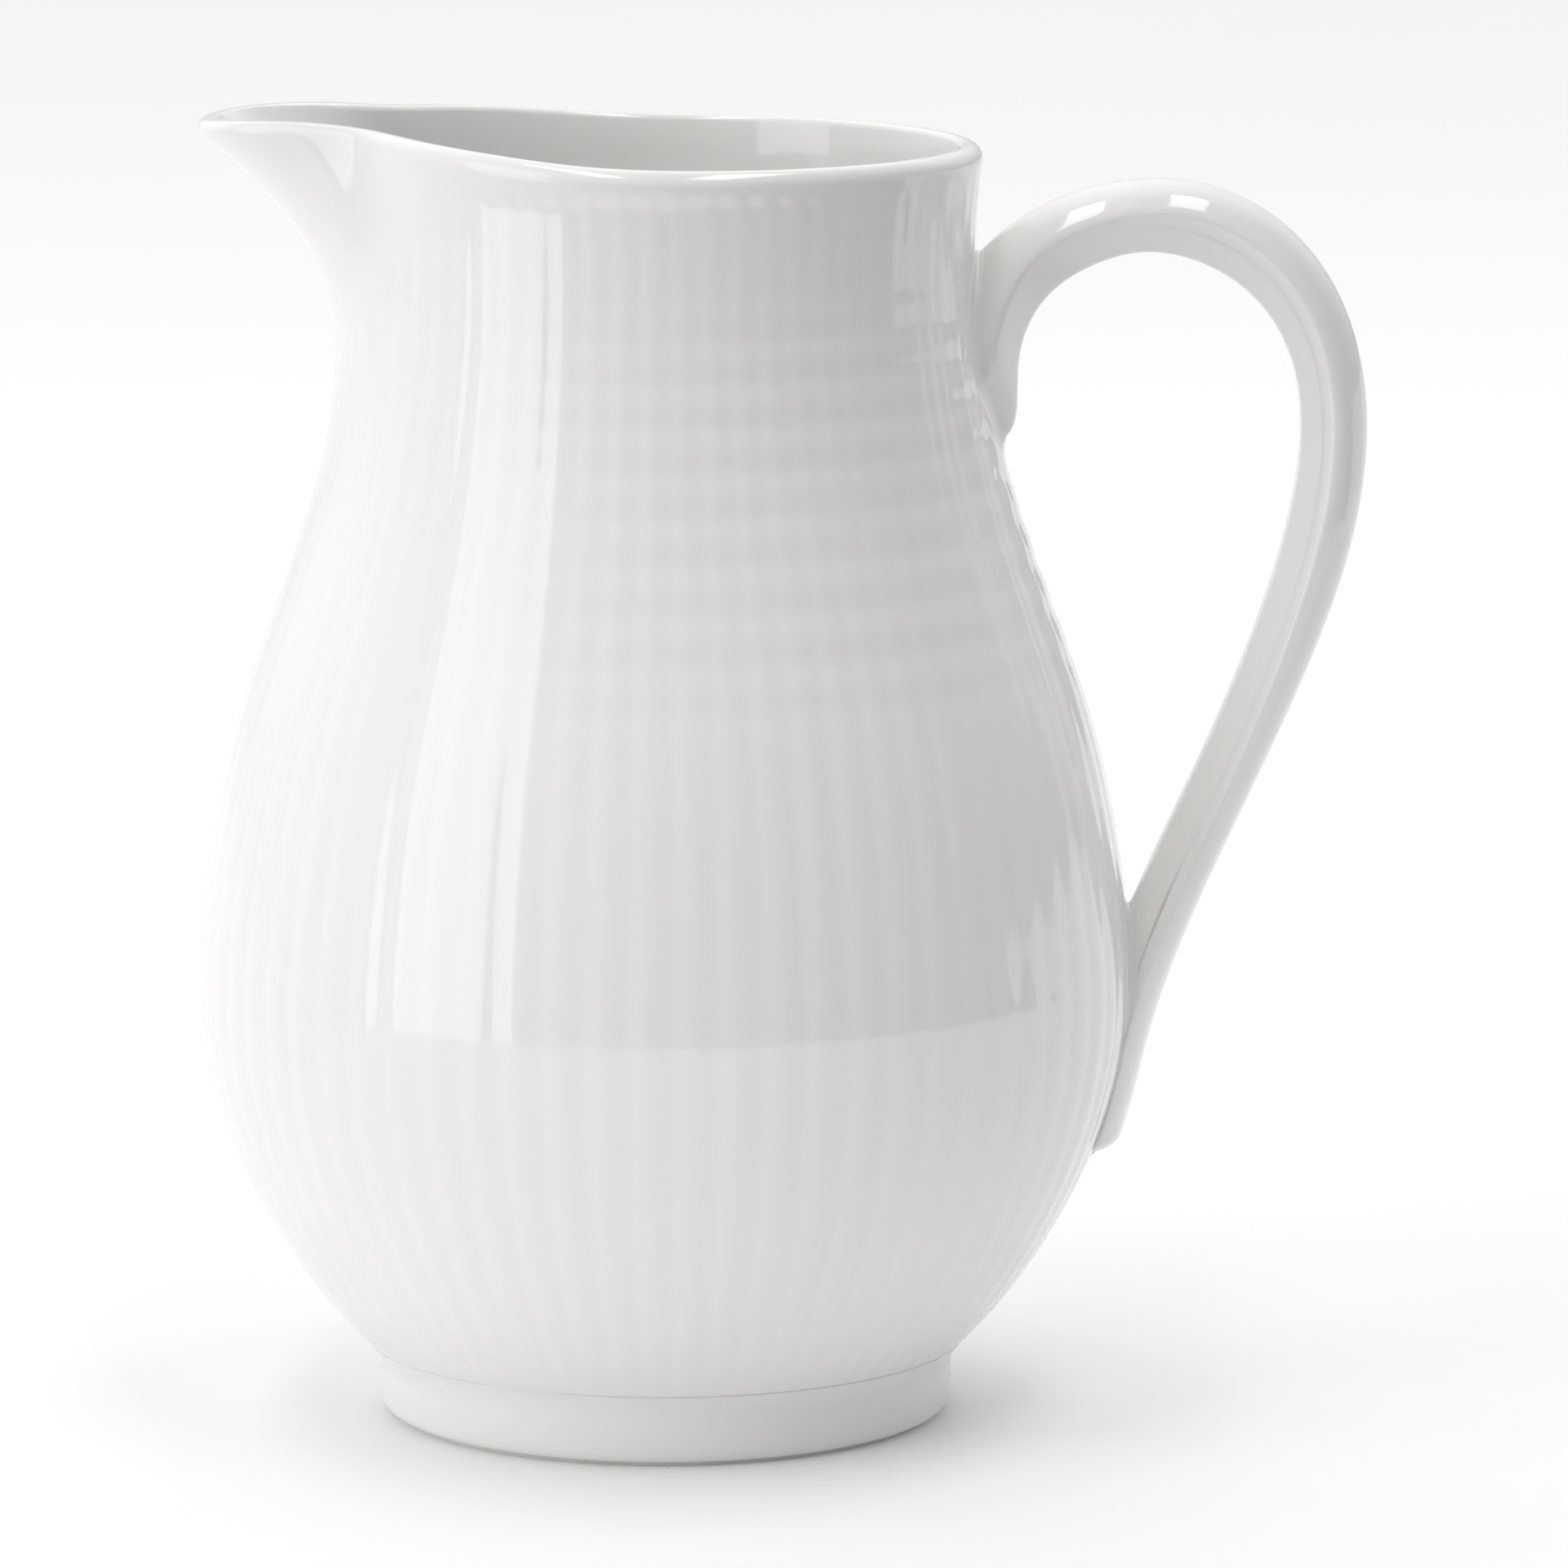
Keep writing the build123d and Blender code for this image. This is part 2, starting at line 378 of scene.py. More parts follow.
def lip_profile(theta, inset, rounding, steps):
    """For each column, the rounded corner between the wall's surface and the rim.

    Returns the height where the rounding starts on the wall and its points as (radius, height),
    from the wall to the rim's flat top.
    """
    radius, z = rim_corner(theta, inset)
    other_radius, other_z = rim_corner(theta, WALL - inset)
    corner = np.stack([radius, z], axis=1)
    across = np.stack([other_radius, other_z], axis=1) - corner
    across /= np.linalg.norm(across, axis=1)[:, None]
    down = np.stack([wall_radius(z - 0.5, theta, inset) - radius, np.full_like(z, -0.5)], axis=1)
    down /= np.linalg.norm(down, axis=1)[:, None]
    half_angle = np.arccos(np.clip(np.sum(down * across, axis=1), -1, 1)) / 2
    length = rounding / np.tan(half_angle)
    start_z = z + down[:, 1] * length
    start = np.stack([wall_radius(start_z, theta, inset), start_z], axis=1)
    step = 0.05
    above = wall_radius(start_z + step, theta, inset)
    below = wall_radius(start_z - step, theta, inset)
    slope = (above - below) / (2 * step)
    up = np.stack([slope, np.ones_like(slope)], axis=1)
    up /= np.linalg.norm(up, axis=1)[:, None]
    gap = corner - start
    cross = up[:, 0] * across[:, 1] - up[:, 1] * across[:, 0]
    reach = (gap[:, 0] * across[:, 1] - gap[:, 1] * across[:, 0]) / cross
    meeting = start + up * reach[:, None]
    end = meeting + across * reach[:, None]
    return start_z, [start, *arc_between(start, meeting, end, steps), end]


def spin(profile, theta):
    """Points of one ring from (radius, height) for each column."""
    radius, z = profile.T
    return np.stack([radius * np.cos(theta), radius * np.sin(theta), z], axis=1)


# ---------------------------------------------------------------- handle

RIB_POINTS = 96
RIB_FINENESS = 24               # finer points for each of them while the corners are rounded
FILLET = 1.1                    # reach of the luting slip up the handle and out on the wall
TIP_FILLET = 1.5                # how much further it reaches below the handle's two tips
FILLET_SPREAD = 1.5             # most that it spreads on the wall, in shares of its reach
FILLET_EVENING = 4              # lines to either side that its spread is evened out over
FILLET_SINK = 0.07              # how far its thin edge is sunk into the wall
FILLET_ROOT = 0.4               # thickness of its hidden root
HANDLE_SINK = 0.9               # how far the handle's ends go into the wall
ARM_STATIONS = 480              # fine stations along the handle, on its rounding and its end face
ROUND_STATIONS = 40
FACE_STATIONS = 80
FACE_REACH = 0.95               # how far the end face's lines run towards its heart
HEART_PLACE = 0.15              # place of that heart, in shares of the depth from the inner edge
HANDLE_RINGS = [                # (from, to, rings) in shares of the handle's length
    (0.0, 0.80, 120),
    (0.80, 0.875, 12),
    (0.875, 1.0, 12),
]

rib_array = np.array(HANDLE_RIBS)
rib_middle = (rib_array[:, 0:2] + rib_array[:, 2:4]) / 2
rib_places = chord_lengths(rib_middle)


def rib_shape():
    """A rib's outline, ridge at half depth, as shares of the depth and of half the width."""
    turn = np.linspace(0, math.pi / 2, 60)
    back = zip(0.5 + 0.5 * np.sin(turn), np.cos(turn) ** RIB_BACK_POWER)
    half = np.array([(0, 0), RIB_INNER_CORNER, *back])
    loop = np.concatenate([half, half[-2:0:-1] * (1, -1), half[:1]])
    places = chord_lengths(loop * RIB_PROPORTIONS)
    fine = RIB_FINENESS * RIB_POINTS
    at = np.linspace(0, places[-1], fine, endpoint=False)
    outline = np.stack([np.interp(at, places, loop[:, i]) for i in (0, 1)], axis=1)
    reach = round(RIB_ROUNDING / places[-1] * fine)
    rounded = sum(np.roll(outline, shift, axis=0) for shift in range(-reach, reach + 1))
    return rounded[::RIB_FINENESS] / (2 * reach + 1)


rib_outline = rib_shape()


def rib_points(place, inset):
    """Points round the handle at a place along it, drawn in by inset."""
    row = [float(natural_spline(rib_places, rib_array[:, i], [place])[0]) for i in range(6)]
    inner = np.array([row[2], 0, row[3]])
    along = np.array([row[0], 0, row[1]]) - inner
    depth = np.linalg.norm(along)
    along *= (depth - inset) / depth
    ridge = row[5]
    u = rib_outline[:, 0:1]
    u = np.where(u < 0.5, u * ridge / 0.5, 1 - (1 - u) * (1 - ridge) / 0.5)
    half_width = row[4] / 2 - inset
    return inner + along * u + np.array([0, half_width, 0]) * rib_outline[:, 1:2]


def handle_grid():
    """Fine rows of points along the handle, round its lower edge and over its end face."""
    end = rib_places[-1]
    rows = [rib_points(p, 0) for p in np.linspace(0, end - TAIL_ROUNDING, ARM_STATIONS)]
    for turn in np.linspace(0, math.pi / 2, ROUND_STATIONS + 1)[1:]:
        inset = TAIL_ROUNDING * (1 - math.cos(turn))
        rows.append(rib_points(end - TAIL_ROUNDING * (1 - math.sin(turn)), inset))
    last_rib = rib_points(end, 0)
    heart = (1 - HEART_PLACE) * last_rib[0] + HEART_PLACE * last_rib[RIB_POINTS // 2]
    for share in np.linspace(0, FACE_REACH, FACE_STATIONS + 1)[1:]:
        rows.append(rows[ARM_STATIONS + ROUND_STATIONS - 1] * (1 - share) + heart * share)
    return np.array(rows)


def over_wall(points):
    """Distance of points outside the wall's crests, away from the spout."""
    radius = np.linalg.norm(points[..., :2], axis=-1)
    z = points[..., 2]
    slope = np.interp(z, outline_z, outline_slope)
    return (radius - outline_radius(z)) / np.sqrt(1 + slope**2)


def wall_normal(points):
    theta = np.arctan2(points[..., 1], points[..., 0])
    slope = np.interp(points[..., 2], outline_z, outline_slope)
    normal = np.stack([np.cos(theta), np.sin(theta), -slope], axis=-1)
    return normal / np.linalg.norm(normal, axis=-1)[..., None]


def crossing(height, level):
    """For each line, the fractional station where its height first rises over its level."""
    index = np.argmax(height > level, axis=0)
    lines = np.arange(height.shape[1])
    before = height[index - 1, lines]
    after = height[index, lines]
    return index - 1 + (level - before) / (after - before)


def along_line(where, grid):
    """Points of each line of a grid at fractional stations."""
    low = np.clip(np.floor(where).astype(int), 0, len(grid) - 2)
    share = (where - low)[:, None]
    lines = np.arange(grid.shape[1])
    return grid[low, lines] * (1 - share) + grid[low + 1, lines] * share


def grid_normals(grid):
    """Outward unit normals of a tube-like grid."""
    along = np.gradient(grid, axis=0)
    around = np.roll(grid, -1, axis=1) - np.roll(grid, 1, axis=1)
    normal = np.cross(around, along)
    normal /= np.linalg.norm(normal, axis=-1)[..., None]
    middle = len(grid) // 2
    outward = np.sum(normal[middle] * (grid[middle] - grid[middle].mean(axis=0)))
    return normal * np.sign(outward)


def settle(points, depth):
    """Moves points square to the wall until they lie depth under its surface."""
    for _ in range(6):
        points = points - wall_normal(points) * (over_wall(points) + depth)[..., None]
    return points


def end_of_handle(grid):
    """Where each line leaves the wall at the grid's first end, and the fillet of slip there."""
    height = over_wall(grid)
    normals = grid_normals(grid)
    leave = crossing(height, 0.0)
    foot = along_line(leave, grid)
    out = along_line(leave, normals)
    wall_out = wall_normal(foot)
    outward = out - wall_out * np.sum(out * wall_out, axis=1)[:, None]
    outward /= np.linalg.norm(outward, axis=1)[:, None]
    reach = FILLET + TIP_FILLET * np.clip(-outward[:, 2], 0, 1) ** 2
    start = along_line(crossing(height, reach), grid)
    spread = np.minimum(np.linalg.norm(start - foot, axis=1), FILLET_SPREAD * reach)
    shifts = range(-FILLET_EVENING, FILLET_EVENING + 1)
    spread = sum(np.roll(spread, shift) for shift in shifts) / len(shifts)
    end = settle(foot + outward * spread[:, None], FILLET_SINK)
    return {"foot": foot, "start": start, "end": end, "out": out, "wall_out": wall_out}


handle_surface = handle_grid()
upper_end = end_of_handle(handle_surface)
lower_end = end_of_handle(handle_surface[::-1])


def ring_object(name, rows):
    """A closed mesh from rows of equal closed rings, the last joined to the first."""
    rows = np.array(rows)
    count, size = rows.shape[:2]
    index = np.arange(count * size).reshape(count, size)
    after = np.roll(index, -1, axis=0)
    corners = [index, np.roll(index, -1, axis=1), np.roll(after, -1, axis=1), after]
    faces = np.stack(corners, axis=-1)
    return mesh_object(name, rows.reshape(-1, 3), faces.reshape(-1, 4), np.zeros(count * size))


def make_joint(name, end, way):
    """The bead of luting slip round one end of the handle; way is the order of its rows."""
    rows = []
    for t in np.linspace(0, 1, 9):
        rows.append((1 - t) ** 2 * end["start"] + 2 * t * (1 - t) * end["foot"] + t**2 * end["end"])
    rows.append(end["end"] - wall_normal(end["end"]) * FILLET_ROOT)
    rows.append(end["foot"] - (end["wall_out"] + end["out"]) * FILLET_ROOT)
    rows.append(end["start"] - end["out"] * FILLET_ROOT)
    return ring_object(name, rows[::way])


def make_handle():
    """The handle from inside the neck's wall to inside the belly's wall, with sunk, curved caps."""
    height = over_wall(handle_surface)
    first = crossing(height, -HANDLE_SINK)
    last = len(handle_surface) - 1 - crossing(height[::-1], -HANDLE_SINK)
    shares = [0.0]
    for low, high, count in HANDLE_RINGS:
        shares += list(np.linspace(low, high, count)[1:])
    rings = [along_line(first + (last - first) * share, handle_surface) for share in shares]
    caps = []
    for edge in (rings[0], rings[-1]):
        middle = edge.mean(axis=0)
        narrowed = [middle + (edge - middle) * share for share in (0.8, 0.6, 0.4, 0.2)]
        caps.append([settle(points, HANDLE_SINK) for points in [*narrowed, middle[None]]])
    surface = Surface()
    for ring in [*reversed(caps[0]), *rings, *caps[1]]:
        surface.ring(ring)
    return surface.object("handle_cast")


# ---------------------------------------------------------------- body

JOINT_SMOOTHING = (0.3, 3.5)    # distances from the slip joints over which the relief comes back
JOINT_RELIEF = 0.15             # share of the relief that is left at the slip itself
LOW_RINGS, BELLY_RINGS, NECK_RINGS = 7, 38, 96
LOW_BAND = 4.0                  # height of the closer rings just above the foot
LIP_STEPS = 11
INNER_LIP_STEPS = 6
INNER_RINGS = 44


def near_joint(points):
    """Share of the relief that is left near the slip joints."""
    left = np.ones(len(points))
    close = np.where((points[:, 0] > 30) & (np.abs(points[:, 1]) < 20))[0]
    if len(close):
        edges = np.concatenate([upper_end["end"], lower_end["end"]])
        gaps = np.linalg.norm(points[close][:, None] - edges[None], axis=2).min(axis=1)
        left[close] = JOINT_RELIEF + (1 - JOINT_RELIEF) * smoothstep(*JOINT_SMOOTHING, gaps)
    return left


def wall_rows():
    """Shares of the way from the foot to the lip at which the wall has a ring of points."""
    total = RIM_LINE[-1][1] - FOOT_HEIGHT
    low = np.linspace(0, LOW_BAND, LOW_RINGS)[:-1]
    middle = np.linspace(LOW_BAND, ROWS_END - FOOT_HEIGHT, BELLY_RINGS)[:-1]
    high = np.linspace(ROWS_END - FOOT_HEIGHT, total, NECK_RINGS)
    return np.concatenate([low, middle, high]) / total


def make_body():
    """The hollow vessel, ring by ring: underside, outside, lip, inside and floor."""
    theta = np.arange(COLUMNS) / COLUMNS * 2 * math.pi
    coarse = theta[::COARSE]
    surface = Surface()
    inner_foot = FOOT_RADIUS - FOOT_WALL

    # The recessed underside and the part of the belly that the foot ring hides
    surface.ring([[0, 0, FLOOR_UNDERSIDE]])
    for radius in np.linspace(4, inner_foot - 1.5, 10):
        surface.ring(circle_points(radius, FLOOR_UNDERSIDE, coarse))
    for turn in np.linspace(0, math.pi / 2, 5):
        radius = inner_foot - UNDERSIDE_ROUNDING * (1 - math.sin(turn))
        z = FLOOR_UNDERSIDE - UNDERSIDE_ROUNDING * (1 - math.cos(turn))
        surface.ring(circle_points(radius, z, coarse))
    surface.ring(circle_points(inner_foot + 1.0, FOOT_HEIGHT - 1.2, coarse))
    surface.ring(circle_points(FOOT_RADIUS - 1.6, FOOT_HEIGHT - 1.0, coarse))

    # The outside, with its relief, up to the lip
    rounding = LIP_SPOUT + (LIP_OUTER - LIP_SPOUT) * smoothstep(*LIP_TURN, from_spout(theta))
    start_z, lip = lip_profile(theta, 0.0, rounding, LIP_STEPS)
    for share in wall_rows():
        z = FOOT_HEIGHT + (start_z - FOOT_HEIGHT) * share
        plain = spin(np.stack([wall_radius(z, theta), z], axis=1), theta)
        step = 0.1
        above = spin(np.stack([wall_radius(z + step, theta), z + step], axis=1), theta)
        beside = spin(np.stack([wall_radius(z, theta + 0.002), z], axis=1), theta + 0.002)
        normal = np.cross(beside - plain, above - plain)
        normal /= np.linalg.norm(normal, axis=1)[:, None]
        depth, groove = relief(theta, z)
        clear = near_joint(plain)
        surface.ring(plain - normal * (depth * clear)[:, None], groove * clear)
    for ring in lip[1:]:
        surface.ring(spin(ring, theta))

    # The inside, with a rounded corner down to the floor
    inner_start, inner_lip = lip_profile(theta, WALL, LIP_INNER, INNER_LIP_STEPS)
    for ring in inner_lip[::-1]:
        surface.ring(spin(ring, theta))
    inner_start = inner_start[::COARSE]
    corner_z = FLOOR_TOP + INSIDE_CORNER * 0.55
    for share in np.linspace(1, 0, INNER_RINGS)[1:]:
        z = corner_z + (inner_start - corner_z) * share**0.9
        surface.ring(spin(np.stack([wall_radius(z, coarse, WALL), z], axis=1), coarse))
    wall_foot = float(wall_radius(np.array([corner_z]), np.array([0.0]), WALL)[0])
    flat = wall_foot - INSIDE_CORNER
    meeting = float(wall_radius(np.array([FLOOR_TOP]), np.array([0.0]), WALL)[0])
    start, corner, end = np.array([(wall_foot, corner_z), (meeting, FLOOR_TOP), (flat, FLOOR_TOP)])
    for t in np.linspace(0, 1, 8)[1:]:
        r, z = (1 - t) ** 2 * start + 2 * t * (1 - t) * corner + t**2 * end
        surface.ring(circle_points(r, z, coarse))
    for radius in np.linspace(flat, 3, 9)[1:]:
        surface.ring(circle_points(radius, FLOOR_TOP, coarse))
    surface.ring([[0, 0, FLOOR_TOP]])
    return surface.object("vessel_wall")


# ---------------------------------------------------------------- foot

def make_foot():
    """The foot ring, with a small concave fillet up to the belly."""
    theta = np.arange(REEDS * 4) / (REEDS * 4) * 2 * math.pi
    inner = FOOT_RADIUS - FOOT_WALL
    low = BARE_RIM_HEIGHT
    profile = [(FOOT_RADIUS - 2.0, FOOT_HEIGHT - 0.6), (inner + 0.6, FOOT_HEIGHT - 0.6)]
    profile += [(inner, FOOT_HEIGHT - 1.6), (inner, FOOT_HEIGHT - 3.2), (inner, low + 1.6)]
    for turn in np.linspace(0, math.pi / 2, 6):
        profile.append((inner + 1 - math.cos(turn), low + 1 - math.sin(turn)))
    profile += [(inner + 1.7, low), (FOOT_RADIUS - 2.9, low)]
    edge = FOOT_EDGE - low
    for turn in np.linspace(0, math.pi / 2, 9):
        radius = FOOT_RADIUS - edge + edge * math.sin(turn)
        profile.append((radius, low + edge - edge * math.cos(turn)))
    for z in np.linspace(low + edge, FOOT_HEIGHT - FOOT_CREASE_START - 0.1, 7)[1:]:
        profile.append((FOOT_RADIUS, z))
    start = np.array([FOOT_RADIUS, FOOT_HEIGHT - FOOT_CREASE_START])
    corner = np.array([FOOT_RADIUS - FOOT_CREASE_INSET, FOOT_HEIGHT])
    top_z = FOOT_HEIGHT + FOOT_CREASE
    end = np.array([float(outline_radius(top_z)) + 0.02, top_z])
    for t in np.linspace(0, 1, 14)[1:]:
        profile.append(tuple((1 - t) ** 2 * start + 2 * t * (1 - t) * corner + t**2 * end))
    profile.append((float(outline_radius(top_z)) - 0.8, top_z))
    rows = [circle_points(r, z, theta) for r, z in profile]
    return ring_object("foot_cast", rows)


def make_bare_rim():
    """The wiped ring that touches the table, with softened edges."""
    theta = np.arange(REEDS * 4) / (REEDS * 4) * 2 * math.pi
    outer = BARE_RIM_OUTER
    inner = outer - BARE_RIM_WIDTH
    soft = BARE_RIM_EDGE
    high = BARE_RIM_HEIGHT + BARE_RIM_OVERLAP
    edge = [(0.0, soft), (soft * 0.3, soft * 0.3), (soft, 0.0)]
    profile = [(inner, high)] + [(inner + across, z) for across, z in edge]
    profile += [(outer - across, z) for across, z in reversed(edge)] + [(outer, high)]
    rows = [circle_points(r, z, theta) for r, z in profile]
    return ring_object("bare_foot_rim", rows)


# ---------------------------------------------------------------- materials

def new_material(name):
    material = bpy.data.materials.new(name)
    material.use_nodes = True
    nodes = material.node_tree.nodes
    nodes.clear()
    output = nodes.new("ShaderNodeOutputMaterial")
    shader = nodes.new("ShaderNodeBsdfPrincipled")
    material.node_tree.links.new(shader.outputs["BSDF"], output.inputs["Surface"])
    return material, nodes, material.node_tree.links, shader


def noise(nodes, links, coordinates, scale, detail=2.0, roughness=0.5):
    node = nodes.new("ShaderNodeTexNoise")
    node.inputs["Scale"].default_value = scale
    node.inputs["Detail"].default_value = detail
    node.inputs["Roughness"].default_value = roughness
    links.new(coordinates, node.inputs["Vector"])
    return node.outputs["Fac"]


def ramp(nodes, links, value, low, high):
    """Maps value to a range of numbers between two stops."""
    node = nodes.new("ShaderNodeMapRange")
    node.inputs["From Min"].default_value = low[0]
    node.inputs["From Max"].default_value = high[0]
    node.inputs["To Min"].default_value = low[1]
    node.inputs["To Max"].default_value = high[1]
    links.new(value, node.inputs["Value"])
    return node.outputs["Result"]


def mix_colour(nodes, links, factor, first, second):
    node = nodes.new("ShaderNodeMix")
    node.data_type = "RGBA"
    links.new(factor, node.inputs["Factor"])
    for socket, value in ((node.inputs["A"], first), (node.inputs["B"], second)):
        if isinstance(value, tuple):
            socket.default_value = (*value, 1)
        else:
            links.new(value, socket)
    return node.outputs["Result"]


def glaze_material(name, reeded):
    """Clear glossy glaze on white porcelain, thicker in the grooves, where the colour turns greyer:
    partly pooled glaze, partly painted shade. Faintly uneven.
    """
    material, nodes, links, shader = new_material(name)
    coordinates = nodes.new("ShaderNodeTexCoord").outputs["Object"]
    cloud = noise(nodes, links, coordinates, 22.0, 3.0)
    body = mix_colour(nodes, links, cloud, (0.855, 0.851, 0.833), (0.885, 0.881, 0.862))
    if reeded:
        groove = nodes.new("ShaderNodeAttribute")
        groove.attribute_name = "groove"
        # Painted shade: deep in the grooves the colour turns greyer, partly for the thicker glaze
        # and partly as painted shade.
        groove_glaze_and_shade = ramp(nodes, links, groove.outputs["Fac"], (0.55, 0.0), (1.0, 0.12))
        body = mix_colour(nodes, links, groove_glaze_and_shade, body, (0.785, 0.792, 0.780))
    specks = nodes.new("ShaderNodeTexVoronoi")
    specks.inputs["Scale"].default_value = 85.0
    links.new(coordinates, specks.inputs["Vector"])
    spot = ramp(nodes, links, specks.outputs["Distance"], (0.010, 0.16), (0.022, 0.0))
    body = mix_colour(nodes, links, spot, body, (0.42, 0.40, 0.36))
    links.new(body, shader.inputs["Base Color"])
    smear = noise(nodes, links, coordinates, 60.0, 4.0, 0.6)
    gloss = ramp(nodes, links, smear, (0.3, 0.04), (0.7, 0.08))
    links.new(gloss, shader.inputs["Roughness"])
    shader.inputs["IOR"].default_value = 1.52
    shader.inputs["Subsurface Weight"].default_value = 0.08
    shader.inputs["Subsurface Radius"].default_value = (1.0, 0.9, 0.75)
    shader.inputs["Subsurface Scale"].default_value = 0.0015
    shader.inputs["Coat Weight"].default_value = 0.25
    shader.inputs["Coat Roughness"].default_value = 0.03
    wave = noise(nodes, links, coordinates, 75.0, 1.0)
    peel = noise(nodes, links, coordinates, 420.0, 2.0)
    first = nodes.new("ShaderNodeBump")
    first.inputs["Strength"].default_value = 0.5
    first.inputs["Distance"].default_value = 0.00006
    links.new(wave, first.inputs["Height"])
    second = nodes.new("ShaderNodeBump")
    second.inputs["Strength"].default_value = 0.25
    second.inputs["Distance"].default_value = 0.00001
    links.new(peel, second.inputs["Height"])
    links.new(first.outputs["Normal"], second.inputs["Normal"])
    links.new(second.outputs["Normal"], shader.inputs["Normal"])
    return material


def bare_material():
    """Unglazed, polished porcelain: matt, a little warmer, with fine grit and rubbed marks."""
    material, nodes, links, shader = new_material("bare_porcelain")
    coordinates = nodes.new("ShaderNodeTexCoord").outputs["Object"]
    grit = noise(nodes, links, coordinates, 1500.0, 4.0, 0.7)
    stain = noise(nodes, links, coordinates, 90.0, 4.0)
    colour = mix_colour(nodes, links, stain, (0.74, 0.725, 0.69), (0.82, 0.805, 0.775))
    links.new(colour, shader.inputs["Base Color"])
    links.new(ramp(nodes, links, grit, (0.3, 0.55), (0.7, 0.8)), shader.inputs["Roughness"])
    bump = nodes.new("ShaderNodeBump")
    bump.inputs["Strength"].default_value = 0.6
    bump.inputs["Distance"].default_value = 0.00003
    links.new(grit, bump.inputs["Height"])
    links.new(bump.outputs["Normal"], shader.inputs["Normal"])
    return material


def floor_material():
    """Plain pale board that glows faintly, a little more towards the back."""
    material, nodes, links, shader = new_material("pale_floor")
    coordinates = nodes.new("ShaderNodeTexCoord").outputs["Object"]
    cloud = noise(nodes, links, coordinates, 4.0, 3.0)
    colour = mix_colour(nodes, links, cloud, (0.92, 0.92, 0.92), (0.94, 0.94, 0.94))
    links.new(colour, shader.inputs["Base Color"])
    axes = nodes.new("ShaderNodeSeparateXYZ")
    links.new(coordinates, axes.inputs[0])
    glow = ramp(nodes, links, axes.outputs["Y"], (0.0, 0.05), (0.8, 0.25))
    links.new(glow, shader.inputs["Emission Strength"])
    shader.inputs["Emission Color"].default_value = (1, 1, 1, 1)
    shader.inputs["Roughness"].default_value = 0.6
    return material


# ---------------------------------------------------------------- build

body = make_body()
handle = make_handle()
foot = make_foot()
bare_rim = make_bare_rim()
upper_joint = make_joint("upper_slip_joint", upper_end, -1)
lower_joint = make_joint("lower_slip_joint", lower_end, 1)

reeded_glaze = glaze_material("reeded_glaze", True)
plain_glaze = glaze_material("plain_glaze", False)
bare = bare_material()

for piece, node, slot, material in (
    (body, "body", "white_glaze", reeded_glaze),
    (handle, "handle", "white_glaze", plain_glaze),
    (foot, "foot_ring", "white_glaze", plain_glaze),
    (upper_joint, "upper_handle_joint", "white_glaze", plain_glaze),
    (lower_joint, "lower_handle_joint", "white_glaze", plain_glaze),
    (bare_rim, "unglazed_foot_rim", "bare_porcelain", bare),
):
    piece.data.materials.append(material)
    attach(piece, "root")
    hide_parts(node)

# ---------------------------------------------------------------- stage, light and camera

def make_ground(name, outline, material):
    mesh = bpy.data.meshes.new(name)
    mesh.from_pydata([(x, y, 0) for x, y in outline], [], [tuple(range(len(outline)))])
    ground = bpy.data.objects.new(name, mesh)
    bpy.context.scene.collection.objects.link(ground)
    ground.data.materials.append(material)
    return ground


def soft_light(name, place, target, width, tall, strength):
    light = bpy.data.lights.new(name, "AREA")
    light.shape = "RECTANGLE"
    light.size = width
    light.size_y = tall
    light.energy = 4 * strength * width * tall
    lamp = bpy.data.objects.new(name, light)
    lamp.location = place
    lamp.rotation_mode = "QUATERNION"
    lamp.rotation_quaternion = (Vector(target) - Vector(place)).to_track_quat("-Z", "Y")
    lamp.visible_camera = False
    bpy.context.scene.collection.objects.link(lamp)


def upright_light(name, turn_from, turn_to, low, high, distance, strength):
    """A vertical panel round the object: turns are degrees from the front, to the left."""
    first = math.radians(turn_from)
    last = math.radians(turn_to)
    start = Vector((-math.sin(first) * distance, -math.cos(first) * distance, low))
    end = Vector((-math.sin(last) * distance, -math.cos(last) * distance, high))
    place = (start + end) / 2
    width = math.hypot(end.x - start.x, end.y - start.y)
    soft_light(name, place, (0, 0, place.z), width, high - low, strength)


def flat_light(name, left, right, front, back, height, strength):
    """A level panel overhead that shines straight down."""
    place = Vector(((left + right) / 2, (front + back) / 2, height))
    soft_light(name, place, place - Vector((0, 0, 1)), right - left, back - front, strength)


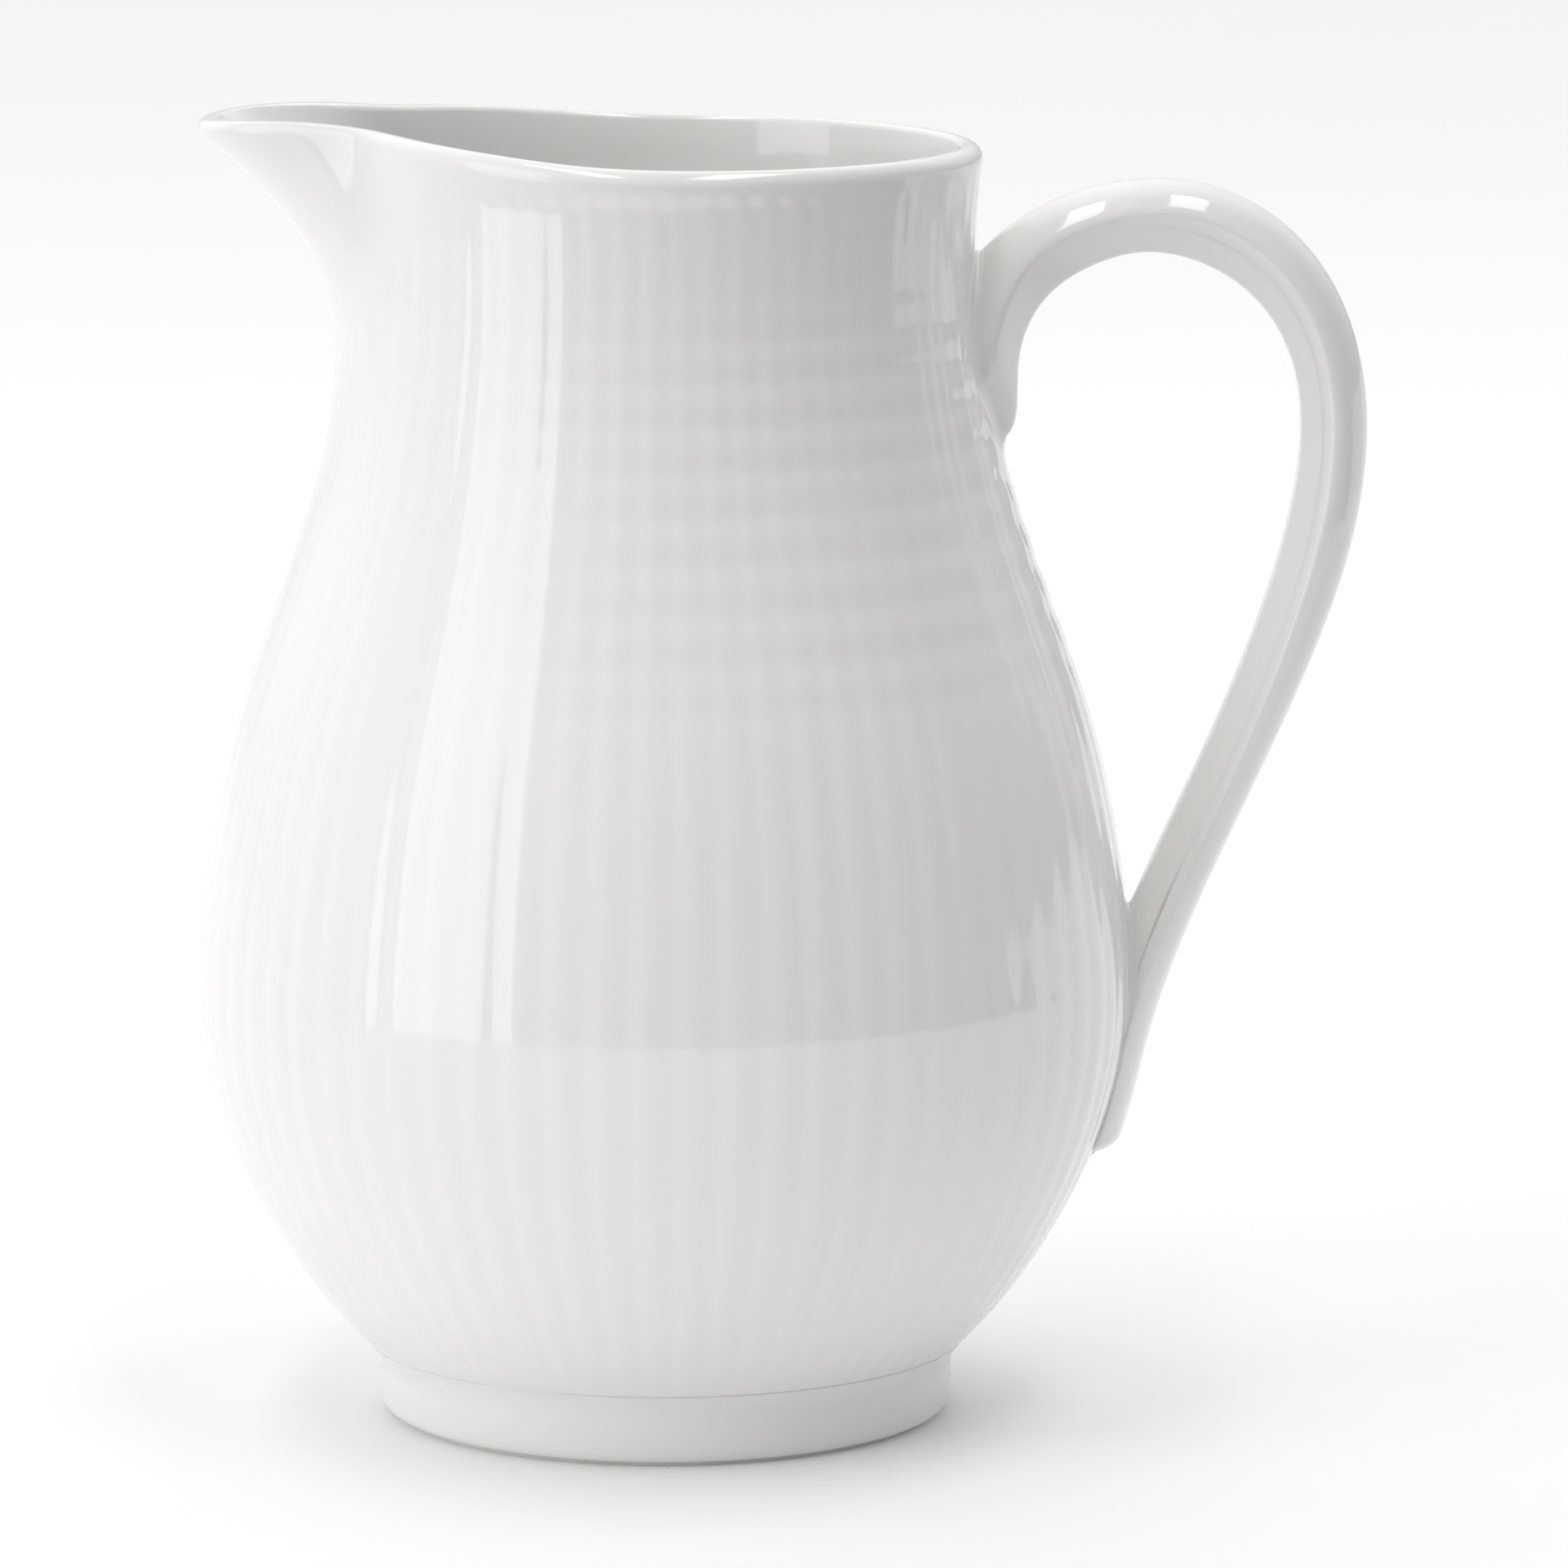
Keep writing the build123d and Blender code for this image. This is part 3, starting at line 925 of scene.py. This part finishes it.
def make_world(glows):
    """A dim room: each glow is a strength and the one or two directions it is brightest in."""
    world = bpy.data.worlds.new("studio")
    bpy.context.scene.world = world
    world.use_nodes = True
    nodes = world.node_tree.nodes
    links = world.node_tree.links
    axes = nodes.new("ShaderNodeSeparateXYZ")
    links.new(nodes.new("ShaderNodeTexCoord").outputs["Generated"], axes.inputs[0])
    ways = {
        "up": ("Z", 1),
        "right": ("X", 1),
        "left": ("X", -1),
        "behind": ("Y", 1),
        "front": ("Y", -1),
    }

    def towards(way, strength):
        axis, full = ways[way]
        share = nodes.new("ShaderNodeMapRange")
        share.inputs["From Max"].default_value = full
        share.inputs["To Max"].default_value = strength
        links.new(axes.outputs[axis], share.inputs["Value"])
        return share.outputs["Result"]

    def combine(operation, first, second):
        node = nodes.new("ShaderNodeMath")
        node.operation = operation
        links.new(first, node.inputs[0])
        links.new(second, node.inputs[1])
        return node.outputs[0]

    total = None
    for strength, way, *others in glows:
        amount = towards(way, strength)
        for other in others:
            amount = combine("MULTIPLY", amount, towards(other, 1))
        total = amount if total is None else combine("ADD", total, amount)
    links.new(total, nodes["Background"].inputs["Strength"])
    nodes["Background"].inputs["Color"].default_value = (1, 1, 1, 1)


TABLE_EDGE = 0.49               # radius of the table's rounded front edge, in metres
TABLE_TURN = math.radians(100)  # how far round it goes to either side
FLOOR_REACH = 6.0               # half the side of the floor
turns = np.linspace(-TABLE_TURN, TABLE_TURN, 101)
edge = [(TABLE_EDGE * math.sin(turn), -TABLE_EDGE * math.cos(turn)) for turn in turns]
far = FLOOR_REACH
side_y = edge[0][1]
back = [(far, side_y), (far, far), (-far, far), (-far, side_y)]
front = [(-far, side_y), (-far, -far), (far, -far), (far, side_y)]
pale = floor_material()
make_ground("table_top", edge + back, pale)
front_floor = make_ground("floor_in_front", edge[::-1] + front, pale)
front_floor.visible_glossy = False
front_floor.visible_diffuse = False
front_floor.visible_shadow = False

upright_light("softbox", 38, 70, -0.25, 1.15, 1.4, 1.17)
upright_light("left_bounce", 70, 110, -0.1, 1.1, 1.5, 0.08)
upright_light("right_strip", -134, -140, -0.1, 1.1, 1.5, 0.2)
flat_light("left_overhead", -0.47, -0.23, -1.0, 0.3, 1.6, 3.6)
flat_light("right_overhead", 0.23, 0.59, -1.0, 0.35, 1.6, 3.6)
make_world([
    (1.24, "up", "behind"),
    (0.95, "up", "front"),
    (0.70, "up", "right"),
    (0.76, "left"),
    (0.55, "behind"),
])
bpy.context.scene.view_settings.view_transform = "Standard"

CAMERA_DISTANCE = 1.3184
CAMERA_HEIGHT = 0.3044
CAMERA_SIDE = 0.0168
CAMERA_PITCH = 9.265            # degrees downwards
camera_data = bpy.data.cameras.new("camera")
camera_data.lens = 217.7
camera_data.sensor_width = 36
camera = bpy.data.objects.new("camera", camera_data)
camera.location = (CAMERA_SIDE, -CAMERA_DISTANCE, CAMERA_HEIGHT)
camera.rotation_euler = (math.radians(90 - CAMERA_PITCH), 0, 0)
bpy.context.scene.collection.objects.link(camera)
bpy.context.scene.camera = camera
